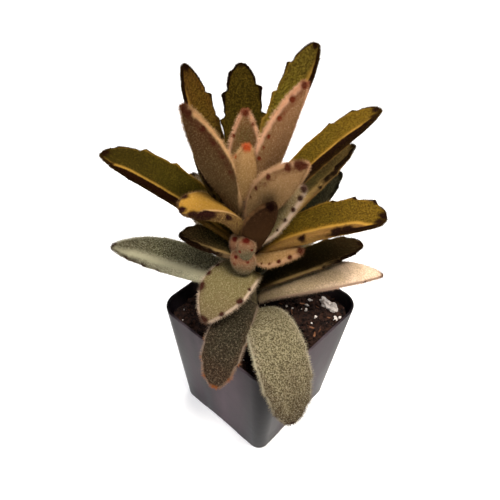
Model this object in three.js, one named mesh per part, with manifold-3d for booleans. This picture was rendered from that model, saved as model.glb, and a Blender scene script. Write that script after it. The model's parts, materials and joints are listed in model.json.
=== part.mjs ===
// A potted chocolate soldier kalanchoe (Kalanchoe tomentosa) in a small square nursery pot.
// Millimetres, +Z up. The origin is the centre of the pot's underside, on the surface it stands on.

import * as THREE from 'three';
import { mergeVertices } from 'three/addons/utils/BufferGeometryUtils.js';
import Module from 'manifold-3d';

const wasm = await Module();
wasm.setup();

// Driving dimensions of the pot
const POT_HEIGHT = 57.5;
const POT_TOP_SIDE = 57;
const POT_FOOT_SIDE = 45;
const POT_TOP_CORNER = 8;
const POT_FOOT_CORNER = 4.5;
const POT_WALL = 0.9;
const POT_FLOOR = 2;
const DRAIN_RADIUS = 3;
const DRAIN_PLACE = 12;
const NOTCH_LENGTH = 20;
const NOTCH_HEIGHT = 1;
const NOTCH_DEPTH = 7;
const NOTCH_OVERRUN = 1;

// Air left between two pieces that rest against each other
const GAP = 0.3;

// Driving dimensions of the soil
const SOIL_TOP = 52;
const STEM_HOLE_DEPTH = 14;

// Driving dimensions of the stem
const STEM_FOOT_RADIUS = 2.6;
const STEM_TIP_RADIUS = 1.3;
const STEM_FOOT_OFFSET = 3;
const STEM_LEAN_SLOPE = 5 / 60;
const STEM_LEAN_HEADING = 222;
const STEM_TIP_HEIGHT = 112;

// The pot's front corner looks this way, in degrees from +X. Leaf directions are counted from it.
const FRONT_HEADING = -51;

// Facets of the round shapes, the leaf's around it and along it
const LEAF_AROUND = 10;
const LEAF_ALONG = 12;
const POT_CORNER_FACETS = 8;
const HOLE_FACETS = 20;
const NOTCH_FACETS = 24;
const STEM_FACETS = 16;
const STEM_TIP_FACETS = 4;

// Short steps by which a leaf's spine is followed from foot to tip
const SPINE_STEPS = 40;

// Vertices nearer than this are one vertex
const WELD_DISTANCE = 1e-4;

// The shape that every leaf shares, as fractions of its length and width
const LEAF_NECK = 0.4;
const LEAF_WIDEST = 0.62;
const LEAF_TIP_FULLNESS = 3;
const LEAF_TIP_BLUNTNESS = 0.5;
const POINTED_WIDEST_SHIFT = 0.16;
const POINTED_FULLNESS_LOSS = 1.5;
const POINTED_BLUNTNESS_GAIN = 0.4;
const LEAF_BUTT = 0.05;
const LEAF_FOOT_THICKNESS = 0.55;
const LEAF_THICKEST = 0.4;
const LEAF_THIN_TIP_FULLNESS = 6;
const LEAF_THIN_TIP_BLUNTNESS = 0.6;
const LEAF_STANDOFF = 1.5;
const LEAF_STEEP_STANDOFF = 1.2;
const LEAF_TWIST_END = 0.45;
const LEAF_SQUARENESS = 0.85;
const LEAF_KEEL = 1.15;
const LEAF_FACE = 0.85;
const LEAF_MARGIN_ROUNDING = 0.25;

// Colours and finishes, the leaves' by age
const YOUNG = { color: 0xc9a98a, roughness: 0.85, metalness: 0 };
const MATURE = { color: 0x8a8550, roughness: 0.85, metalness: 0 };
const OLD = { color: 0x8f9480, roughness: 0.9, metalness: 0 };
const STEM_LOOK = { color: 0x6e6a4c, roughness: 0.9, metalness: 0 };
const SOIL_LOOK = { color: 0x3a2a22, roughness: 1, metalness: 0 };
const POT_LOOK = { color: 0x3b383d, roughness: 0.3, metalness: 0 };

// Each leaf: the height of its foot on the stem, its direction counted from the front corner,
// its rise above level at the foot and at the tip, its length, width and thickness,
// the hollow of its upper face, and how pointed it is, from 0, blunt, to 1. Where they differ from
// the usual: its twist about its own length, the breadth of its neck, and how far its foot stands
// apart from the stem.
const LEAVES = {
  leaf_crown_1: {
    look: YOUNG, foot: 112, around: 186, rise: [86, 86],
    length: 28.5, width: 10, thick: 3.8, hollow: 0.3, point: 0.9,
  },
  leaf_crown_2: {
    look: YOUNG, foot: 111, around: 8, rise: [84, 94],
    length: 22, width: 9, thick: 3.8, hollow: 0.3, point: 0.9,
  },

  leaf_upper_1: {
    look: MATURE, foot: 107, around: 130, rise: [71, 60],
    length: 55.5, width: 12, thick: 4.2, hollow: 0.25, point: 0.1, neck: 0.35,
  },
  leaf_upper_2: {
    look: MATURE, foot: 97, around: 192, rise: [79, 61],
    length: 54, width: 13, thick: 4.2, hollow: 0.2, point: 0.2, neck: 0.35, apart: 0.8,
  },
  leaf_upper_3: {
    look: MATURE, foot: 95, around: 231, rise: [59, 67],
    length: 59, width: 11, thick: 4.2, hollow: 0.25, point: 0.3, neck: 0.35,
  },
  leaf_upper_4: {
    look: YOUNG, foot: 104, around: 79, rise: [82, 68],
    length: 52.5, width: 10, thick: 5, hollow: 0.2, point: 0.8, twist: -50,
  },
  leaf_upper_5: {
    look: YOUNG, foot: 103, around: 300, rise: [71, 66],
    length: 50, width: 11.5, thick: 5, hollow: 0.2, point: 0.8, twist: 50,
  },
  leaf_upper_6: {
    look: YOUNG, foot: 95, around: 266, rise: [66, 64],
    length: 34, width: 8, thick: 4, hollow: 0.25, point: 0.8, apart: 0.8,
  },
  leaf_upper_7: {
    look: YOUNG, foot: 97, around: 50, rise: [77, 48],
    length: 43.5, width: 12.5, thick: 5.5, hollow: 0.2, point: 0.7, twist: -45, neck: 0.3,
  },

  leaf_middle_11: {
    look: YOUNG, foot: 84, around: 62, rise: [42, 24],
    length: 22.5, width: 12.5, thick: 4, hollow: 0.2, point: 0.9,
  },
  leaf_middle_1: {
    look: MATURE, foot: 88.5, around: 258, rise: [46, 12],
    length: 59, width: 16.5, thick: 5, hollow: 0.3, point: 0.3,
  },
  leaf_middle_2: {
    look: YOUNG, foot: 94, around: 304, rise: [82, 0],
    length: 32.5, width: 14, thick: 5, hollow: 0.2, point: 0.1, neck: 0.3,
  },
  leaf_middle_3: {
    look: MATURE, foot: 83, around: 281, rise: [41, 17],
    length: 26, width: 12, thick: 4.5, hollow: 0.3, point: 0.6,
  },
  leaf_middle_4: {
    look: OLD, foot: 82, around: 228, rise: [46, 28],
    length: 36, width: 9, thick: 4.5, hollow: 0.2, point: 0.4,
  },
  leaf_middle_5: {
    look: MATURE, foot: 95, around: 108, rise: [63, 31],
    length: 60, width: 13.5, thick: 5, hollow: 0.3, point: 0.15, twist: -8, neck: 0.35,
  },
  leaf_middle_6: {
    look: MATURE, foot: 88, around: 112, rise: [50, 43],
    length: 50, width: 11.5, thick: 4.5, hollow: 0.3, point: 0.3, twist: -10,
  },
  leaf_middle_7: {
    look: YOUNG, foot: 88, around: 80, rise: [69, 56],
    length: 34, width: 11, thick: 4, hollow: 0.2, point: 0.7, twist: 35, neck: 0.35,
  },
  leaf_middle_8: {
    look: OLD, foot: 73, around: 122, rise: [53, 41],
    length: 49.5, width: 12, thick: 4.5, hollow: 0.2, point: 0.4,
  },
  leaf_middle_9: {
    look: MATURE, foot: 83, around: 84, rise: [54, 8],
    length: 51.5, width: 17, thick: 5.5, hollow: 0.25, point: 0, neck: 0.2,
  },
  leaf_middle_10: {
    look: MATURE, foot: 87, around: 25, rise: [73, 61],
    length: 36.5, width: 11, thick: 5, hollow: 0.2, point: 0.7,
  },
  leaf_middle_12: {
    look: MATURE, foot: 92, around: 188, rise: [48, 28],
    length: 44, width: 12, thick: 4.5, hollow: 0.25, point: 0.3,
  },
  leaf_middle_13: {
    look: MATURE, foot: 88, around: 180, rise: [40, 12],
    length: 45, width: 12, thick: 5, hollow: 0.2, point: 0.3,
  },
  leaf_middle_14: {
    look: MATURE, foot: 84, around: 203, rise: [42, 18],
    length: 42, width: 12, thick: 4.5, hollow: 0.2, point: 0.3,
  },

  leaf_lower_1: {
    look: OLD, foot: 67, around: 264, rise: [30, -5],
    length: 54, width: 17, thick: 5.5, hollow: 0, point: 0.6,
  },
  leaf_lower_2: {
    look: MATURE, foot: 67, around: 102, rise: [33, 15],
    length: 43.5, width: 12, thick: 4.5, hollow: 0.3, point: 0.2,
  },
  leaf_lower_3: {
    look: OLD, foot: 60, around: 94, rise: [42, -8],
    length: 50.5, width: 12.5, thick: 5, hollow: 0.1, point: 0.7, twist: 10,
  },
  leaf_lower_4: {
    look: YOUNG, foot: 79, around: 328, rise: [12, -45],
    length: 27.5, width: 18, thick: 5, hollow: 0.05, point: 0.9, neck: 0.8,
  },
  leaf_lower_5: {
    look: OLD, foot: 60, around: 342, rise: [50, -85],
    length: 45, width: 14.5, thick: 5, hollow: 0, point: 0.5,
  },
  leaf_lower_6: {
    look: OLD, foot: 54, around: 20, rise: [60, -80],
    length: 60, width: 19, thick: 5.5, hollow: 0, point: 0.45, neck: 0.6,
  },
  leaf_lower_7: {
    look: OLD, foot: 74, around: 172, rise: [30, 0],
    length: 44, width: 13, thick: 5, hollow: 0.15, point: 0.4,
  },
  leaf_lower_8: {
    look: OLD, foot: 66, around: 212, rise: [25, -10],
    length: 46, width: 14, thick: 5, hollow: 0.1, point: 0.4,
  },
  leaf_lower_9: {
    look: OLD, foot: 61, around: 150, rise: [25, -15],
    length: 48, width: 15, thick: 5, hollow: 0.1, point: 0.4,
  },
  leaf_lower_10: {
    look: OLD, foot: 56, around: 288, rise: [20, -10],
    length: 20, width: 12, thick: 5, hollow: 0.1, point: 0.4,
  },
  leaf_lower_11: {
    look: OLD, foot: 70, around: 192, rise: [28, -4],
    length: 45, width: 13, thick: 5, hollow: 0.1, point: 0.4,
  },

  leaf_shoot_1: {
    look: YOUNG, foot: 82, around: 348, rise: [70, 95],
    length: 12, width: 9, thick: 5.5, hollow: 0, point: 0.3, apart: 4,
  },
  leaf_shoot_2: {
    look: YOUNG, foot: 91, around: 0, rise: [86, 92],
    length: 10, width: 6, thick: 3.5, hollow: 0, point: 0.3, apart: 7,
  },
  leaf_shoot_3: {
    look: YOUNG, foot: 86, around: 322, rise: [80, 88],
    length: 11, width: 6, thick: 4, hollow: 0, point: 0.3, apart: 2.5,
  },
};

function finish(look) {
  return new THREE.MeshStandardMaterial(look);
}

function named(name, geometry, look) {
  const mesh = new THREE.Mesh(geometry, finish(look));
  mesh.name = name;
  return mesh;
}

// Position-only copy of a geometry with its shared vertices merged
function welded(geometry) {
  const plain = geometry.clone();
  plain.deleteAttribute('normal');
  plain.deleteAttribute('uv');
  return mergeVertices(plain, WELD_DISTANCE);
}

function toSolid(geometry) {
  const closed = welded(geometry);
  const vertProperties = new Float32Array(closed.attributes.position.array);
  const triVerts = new Uint32Array(closed.index.array);
  return new wasm.Manifold(new wasm.Mesh({ numProp: 3, vertProperties, triVerts }));
}

function toGeometry(solid) {
  const mesh = solid.getMesh();
  const geometry = new THREE.BufferGeometry();
  geometry.setAttribute('position', new THREE.BufferAttribute(new Float32Array(mesh.vertProperties), 3));
  geometry.setIndex(new THREE.BufferAttribute(new Uint32Array(mesh.triVerts), 1));
  geometry.computeVertexNormals();
  return geometry;
}

// Moves every vertex of a geometry by a rule that gives its new place
function reshaped(geometry, rule) {
  const position = geometry.attributes.position;
  const point = new THREE.Vector3();
  for (let i = 0; i < position.count; i += 1) {
    point.fromBufferAttribute(position, i);
    const moved = rule(point, i);
    position.setXYZ(i, moved.x, moved.y, moved.z);
  }
  return geometry;
}

// Tapered pot body: an extruded square with round corners whose section grows with height
function potSide(height) {
  return POT_FOOT_SIDE + ((POT_TOP_SIDE - POT_FOOT_SIDE) * height) / POT_HEIGHT;
}

function potCorner(height) {
  return POT_FOOT_CORNER + ((POT_TOP_CORNER - POT_FOOT_CORNER) * height) / POT_HEIGHT;
}

function roundedSquare(side, corner) {
  const reach = side / 2;
  const shape = new THREE.Shape();
  shape.moveTo(reach, -reach + corner);
  shape.absarc(reach - corner, reach - corner, corner, 0, Math.PI / 2);
  shape.absarc(-reach + corner, reach - corner, corner, Math.PI / 2, Math.PI);
  shape.absarc(-reach + corner, -reach + corner, corner, Math.PI, Math.PI * 1.5);
  shape.absarc(reach - corner, -reach + corner, corner, Math.PI * 1.5, Math.PI * 2);
  return shape;
}

// A frustum of the pot's taper between two heights, smaller than its outside by an inset
function taperedBlock(bottom, top, inset) {
  const settings = { depth: top - bottom, bevelEnabled: false, curveSegments: POT_CORNER_FACETS };
  const sideAtFoot = potSide(bottom) - 2 * inset;
  const cornerAtFoot = potCorner(bottom) - inset;
  const block = new THREE.ExtrudeGeometry(roundedSquare(sideAtFoot, cornerAtFoot), settings);
  return reshaped(block, (point) => {
    const height = bottom + point.z;
    const coreAtFoot = sideAtFoot / 2 - cornerAtFoot;
    const corner = potCorner(height) - inset;
    const core = potSide(height) / 2 - inset - corner;
    const place = (value) => {
      const beyond = Math.max(Math.abs(value) - coreAtFoot, 0) / cornerAtFoot;
      const within = Math.min(Math.abs(value) / coreAtFoot, 1);
      return Math.sign(value) * (within * core + beyond * corner);
    };
    return new THREE.Vector3(place(point.x), place(point.y), height);
  });
}

// Shallow arched drain notch under the middle of each side
function footNotch(turn) {
  const notch = new THREE.CylinderGeometry(1, 1, NOTCH_DEPTH, NOTCH_FACETS);
  notch.scale(NOTCH_LENGTH / 2, 1, NOTCH_HEIGHT);
  notch.translate(0, (POT_FOOT_SIDE - NOTCH_DEPTH) / 2 + NOTCH_OVERRUN, 0);
  notch.rotateZ(turn);
  return toSolid(notch);
}

function drainHole(x, y) {
  const hole = new THREE.CylinderGeometry(DRAIN_RADIUS, DRAIN_RADIUS, 3 * POT_FLOOR, HOLE_FACETS);
  hole.rotateX(Math.PI / 2);
  hole.translate(x, y, POT_FLOOR / 2);
  return toSolid(hole);
}

function pot() {
  let body = toSolid(taperedBlock(0, POT_HEIGHT, 0));
  body = body.subtract(toSolid(taperedBlock(POT_FLOOR, POT_HEIGHT + 1, POT_WALL)));
  for (let side = 0; side < 4; side += 1) {
    body = body.subtract(footNotch((side * Math.PI) / 2));
  }
  for (const x of [-DRAIN_PLACE, DRAIN_PLACE]) {
    for (const y of [-DRAIN_PLACE, DRAIN_PLACE]) {
      body = body.subtract(drainHole(x, y));
    }
  }
  return named('pot', toGeometry(body), POT_LOOK);
}

// Centre line of the stem: straight, leaning slightly to one side
function stemCentre(height) {
  const lean = THREE.MathUtils.degToRad(STEM_LEAN_HEADING);
  const offset = STEM_FOOT_OFFSET + STEM_LEAN_SLOPE * (height - SOIL_TOP);
  return new THREE.Vector3(offset * Math.cos(lean), offset * Math.sin(lean), height);
}

// Tapered block of soil with a hole for the foot of the stem
function soil() {
  const block = toSolid(taperedBlock(POT_FLOOR + GAP, SOIL_TOP, POT_WALL + GAP));
  const hole = toSolid(stemGeometry(GAP));
  return named('soil', toGeometry(block.subtract(hole)), SOIL_LOOK);
}

// The stem's solid of revolution, stood on its foot in the soil, larger all over by a margin
function stemGeometry(margin) {
  const foot = stemCentre(SOIL_TOP - STEM_HOLE_DEPTH + GAP);
  const tip = stemCentre(STEM_TIP_HEIGHT);
  const length = tip.distanceTo(foot);
  const profile = new THREE.Path();
  profile.moveTo(0, -margin);
  profile.lineTo(STEM_FOOT_RADIUS + margin, -margin);
  profile.lineTo(STEM_FOOT_RADIUS + margin, STEM_HOLE_DEPTH);
  profile.lineTo(STEM_TIP_RADIUS + margin, length - STEM_TIP_RADIUS);
  profile.absarc(0, length - STEM_TIP_RADIUS, STEM_TIP_RADIUS + margin, 0, Math.PI / 2);
  const geometry = new THREE.LatheGeometry(profile.getPoints(STEM_TIP_FACETS), STEM_FACETS);
  const lean = tip.clone().sub(foot).normalize();
  geometry.applyQuaternion(new THREE.Quaternion().setFromUnitVectors(new THREE.Vector3(0, 1, 0), lean));
  return geometry.translate(foot.x, foot.y, foot.z);
}

// Fraction of the full width at a fraction of the leaf's length
function leafOutline(leaf, along) {
  const widest = LEAF_WIDEST - POINTED_WIDEST_SHIFT * leaf.point;
  const fullness = LEAF_TIP_FULLNESS - POINTED_FULLNESS_LOSS * leaf.point;
  const bluntness = LEAF_TIP_BLUNTNESS + POINTED_BLUNTNESS_GAIN * leaf.point;
  const neck = leaf.neck ?? LEAF_NECK;
  const grown = Math.min(along / widest, 1);
  const past = Math.max((along - widest) / (1 - widest), 0);
  const grow = neck + (1 - neck) * Math.sin((grown * Math.PI) / 2);
  return grow * (1 - past ** fullness) ** bluntness * leafButt(along);
}

// Rounded end by which the leaf sits on the stem
function leafButt(along) {
  const left = 1 - Math.min(along / LEAF_BUTT, 1);
  return Math.sqrt(1 - left ** 2);
}

// Fraction of the full thickness at a fraction of the leaf's length
function leafThickness(along) {
  const grown = Math.min(along / LEAF_THICKEST, 1);
  const swell = LEAF_FOOT_THICKNESS + (1 - LEAF_FOOT_THICKNESS) * Math.sin((grown * Math.PI) / 2);
  const close = (1 - along ** LEAF_THIN_TIP_FULLNESS) ** LEAF_THIN_TIP_BLUNTNESS;
  return swell * close * leafButt(along);
}

// Squarer than a round section: the power that flattens an ellipse's sides
function softPower(value) {
  return Math.sign(value) * Math.abs(value) ** LEAF_SQUARENESS;
}

// Spine of a leaf: an arc in an upright plane, from its foot on the stem
function leafSpine(leaf) {
  const heading = THREE.MathUtils.degToRad(leaf.around + FRONT_HEADING);
  const first = THREE.MathUtils.degToRad(leaf.rise[0]);
  const turn = THREE.MathUtils.degToRad(leaf.rise[1] - leaf.rise[0]);
  const outward = new THREE.Vector3(Math.cos(heading), Math.sin(heading), 0);
  const up = new THREE.Vector3(0, 0, 1);
  const standoff = LEAF_STANDOFF + LEAF_STEEP_STANDOFF * Math.sin(first) + (leaf.apart ?? 0);
  const start = stemCentre(leaf.foot).addScaledVector(outward, standoff);
  return (along) => {
    const place = start.clone();
    for (let i = 0; i < SPINE_STEPS; i += 1) {
      const rise = first + (turn * along * (i + 0.5)) / SPINE_STEPS;
      const advance = (leaf.length * along) / SPINE_STEPS;
      place.addScaledVector(outward, advance * Math.cos(rise));
      place.addScaledVector(up, advance * Math.sin(rise));
    }
    const rise = first + turn * along;
    const forward = outward.clone().multiplyScalar(Math.cos(rise)).addScaledVector(up, Math.sin(rise));
    const side = new THREE.Vector3(-Math.sin(heading), Math.cos(heading), 0);
    const twisted = THREE.MathUtils.smoothstep(along, 0, LEAF_TWIST_END);
    const twist = THREE.MathUtils.degToRad(leaf.twist ?? 0) * twisted;
    const face = forward.clone().cross(side);
    const across = side.clone().multiplyScalar(Math.cos(twist)).addScaledVector(face, Math.sin(twist));
    return { place, forward, across, face: forward.clone().cross(across) };
  };
}

// A fleshy leaf: a sphere whose two poles become the foot and the tip, larger all over by a margin
function leafGeometry(leaf, margin) {
  const spine = leafSpine(leaf);
  const ball = new THREE.SphereGeometry(1, LEAF_AROUND, LEAF_ALONG);
  return reshaped(ball, (point) => {
    const along = THREE.MathUtils.clamp((1 + point.y) / 2, 0, 1);
    const ring = Math.max(Math.hypot(point.x, point.z), WELD_DISTANCE);
    const cosine = -point.x / ring;
    const sine = point.z / ring;
    const fringe = margin * Math.sin(Math.PI * along) ** LEAF_MARGIN_ROUNDING;
    const halfWidth = (leaf.width / 2) * leafOutline(leaf, along) + fringe;
    const halfThick = (leaf.thick / 2) * leafThickness(along) + fringe;
    const sideways = halfWidth * softPower(cosine);
    const bulge = halfThick * softPower(sine) * (sine < 0 ? LEAF_KEEL : LEAF_FACE);
    const channel = leaf.hollow * halfWidth * softPower(cosine) ** 2;
    const { place, forward, across, face } = spine(along);
    place.addScaledVector(forward, -margin * Math.cos(Math.PI * along));
    return place.addScaledVector(across, sideways).addScaledVector(face, bulge + channel);
  });
}

// A cut can leave loose crumbs: the largest piece is the leaf
function largestBody(solid) {
  const bodies = solid.decompose();
  return bodies.reduce((best, body) => (body.volume() > best.volume() ? body : best));
}

// Leaves crowd at the stem: each is cut back there by the stem and by the leaves before it
function leaves() {
  const meshes = [];
  const taken = [toSolid(stemGeometry(GAP))];
  for (const [name, leaf] of Object.entries(LEAVES)) {
    const whole = toSolid(leafGeometry(leaf, 0));
    const shaped = taken.reduce((body, other) => body.subtract(other), whole);
    meshes.push(named(name, toGeometry(largestBody(shaped)), leaf.look));
    taken.push(toSolid(leafGeometry(leaf, GAP)));
  }
  return meshes;
}

const plant = new THREE.Group();
plant.add(pot(), soil(), named('stem', stemGeometry(0), STEM_LOOK), ...leaves());

export default plant;
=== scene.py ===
"""Looks of a potted chocolate soldier kalanchoe: felted leaves, stem, soil and a thin plastic pot.

Sizes are in millimetres and angles in degrees until a mesh is placed in the frame, which is in metres.
"""

import json
import math
import random
from dataclasses import dataclass

import bmesh
import bpy
from mathutils import Matrix, Vector, noise


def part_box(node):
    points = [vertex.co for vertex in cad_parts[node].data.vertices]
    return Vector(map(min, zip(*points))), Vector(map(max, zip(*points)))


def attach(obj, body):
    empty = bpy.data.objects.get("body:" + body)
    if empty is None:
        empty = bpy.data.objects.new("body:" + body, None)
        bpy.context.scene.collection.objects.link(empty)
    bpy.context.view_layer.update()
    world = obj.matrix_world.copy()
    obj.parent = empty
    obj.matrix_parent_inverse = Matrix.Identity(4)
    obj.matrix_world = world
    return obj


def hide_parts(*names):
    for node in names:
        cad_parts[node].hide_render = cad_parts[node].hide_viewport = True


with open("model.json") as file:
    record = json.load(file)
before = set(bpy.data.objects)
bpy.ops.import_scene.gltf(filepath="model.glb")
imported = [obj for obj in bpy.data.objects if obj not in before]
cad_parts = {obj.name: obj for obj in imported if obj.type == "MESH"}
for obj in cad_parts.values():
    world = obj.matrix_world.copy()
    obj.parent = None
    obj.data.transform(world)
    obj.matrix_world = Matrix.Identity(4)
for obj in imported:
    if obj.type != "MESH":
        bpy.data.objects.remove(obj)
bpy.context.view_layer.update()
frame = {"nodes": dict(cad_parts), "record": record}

MM = 0.001
SEED = 7

# The camera, as fitted to the corners of the pot
CAMERA_AZIMUTH = 40.77
CAMERA_ELEVATION = 42.91
CAMERA_DISTANCE = 216.88
CAMERA_SIDESTEP = -5.18
CAMERA_TARGET_HEIGHT = 86.18
CAMERA_ROLL = 2.39
CAMERA_LENS = 43.2

# Where the stem stands and leans
SOIL_TOP = 52
STEM_FOOT_OFFSET = 3
STEM_LEAN_SLOPE = 5 / 60
STEM_LEAN_HEADING = 222
STEM_TIP_HEIGHT = 112
STEM_FOOT_HEIGHT = 38.5
STEM_FOOT_RADIUS = 2.6
STEM_TIP_RADIUS = 1.3
FRONT_HEADING = -51

# Facets of one leaf: round its section, rings along it, and how much closer they lie at the tip
LEAF_AROUND = 44
RINGS_PER_MM = 1.4
FEWEST_RINGS = 18
LEAF_TIP_CROWDING = 0.5
MARGIN_CROWDING = 0.25

# The shape that every leaf shares, as fractions of its length and width
LEAF_WIDEST = 0.62
LEAF_TIP_FULLNESS = 3
LEAF_TIP_BLUNTNESS = 0.5
POINTED_WIDEST_SHIFT = 0.16
POINTED_FULLNESS_LOSS = 1.5
POINTED_BLUNTNESS_GAIN = 0.4
LEAF_BUTT = 0.05
LEAF_FOOT_THICKNESS = 0.55
LEAF_THICKEST = 0.4
LEAF_THIN_TIP_FULLNESS = 6
LEAF_THIN_TIP_BLUNTNESS = 0.6
LEAF_STANDOFF = 1.5
LEAF_STEEP_STANDOFF = 1.2
LEAF_TWIST_END = 0.45
LEAF_SQUARENESS = 0.85
LEAF_KEEL = 1.15
LEAF_FACE = 0.85
SPINE_STEPS = 30

# A tooth rises slowly from the foot's side and falls steeply towards the tip, into a notch
TOOTH_RISE = 4.5
TOOTH_FALL = 0.7
NOTCH_PLACE = 1.1
NOTCH_WIDTH = 0.8
NOTCH_DEPTH = 0.35

# Unevenness of a leaf's skin
SWELL_HEIGHT = 0.2
SWELL_SPACING = 5
EDGING_WIDTH = 2
BAND_WIDTH = 0.23
RIDGE_HEIGHT = 0.18
RIDGE_WIDTH = 0.8

# Felt: single hairs, each a thin three-sided spike
HAIR_RADIUS = 0.05
HAIR_LEAN = 0.3
HAIR_ROOT = 0.08
MARGIN_HAIR_GAIN = 0.8


@dataclass(frozen=True)
class Leaf:
    """One leaf. Point is 0 for a blunt tip and 1 for a sharp one.

    Its marks are (along, side, spot radius, tooth reach), and its dark bands (side, start, end,
    strength). Ridge is how far up its upper face the pale line lies on side -1 and on side +1,
    in degrees round the section from the margin. Tone lightens or darkens the whole leaf; for
    most leaves it is their own colour, but for some it is painted light or painted shade.
    """

    look: str
    foot: float
    around: float
    rise: tuple
    length: float
    width: float
    thick: float
    hollow: float = 0.2
    point: float = 0.3
    twist: float = 0
    neck: float = 0.4
    apart: float = 0
    marks: tuple = ()
    bands: tuple = ()
    ridge: tuple = (6, 6)
    mark_angle: float = -6
    tone: float = 1


FULL_TEETH = (
    (0.60, 1, 0.9, 1.0), (0.66, -1, 0.9, 1.0), (0.76, 1, 1.0, 1.4), (0.80, -1, 1.0, 1.4),
    (0.90, 1, 1.1, 1.2), (0.93, -1, 1.1, 1.2), (1.0, 0, 1.6, 0),
)
YOUNG_TEETH = (
    (0.45, 1, 0.5, 0.1), (0.50, -1, 0.6, 0.1), (0.60, 1, 0.6, 0.2), (0.65, -1, 0.7, 0.2),
    (0.74, 1, 0.8, 0.3), (0.79, -1, 0.8, 0.3), (0.87, 1, 0.9, 0.3), (0.91, -1, 0.9, 0.3),
    (1.0, 0, 1.3, 0),
)
OLD_TEETH = (
    (0.56, 1, 0.7, 0.5), (0.62, -1, 0.7, 0.5), (0.73, 1, 0.9, 0.8), (0.77, -1, 0.9, 0.8),
    (0.87, 1, 1.1, 0.7), (0.91, -1, 1.1, 0.7), (1.0, 0, 1.8, 0),
)
BOTH_FLANKS = ((1, 0.45, 1, 0.5), (-1, 0.45, 1, 0.5))

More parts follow.
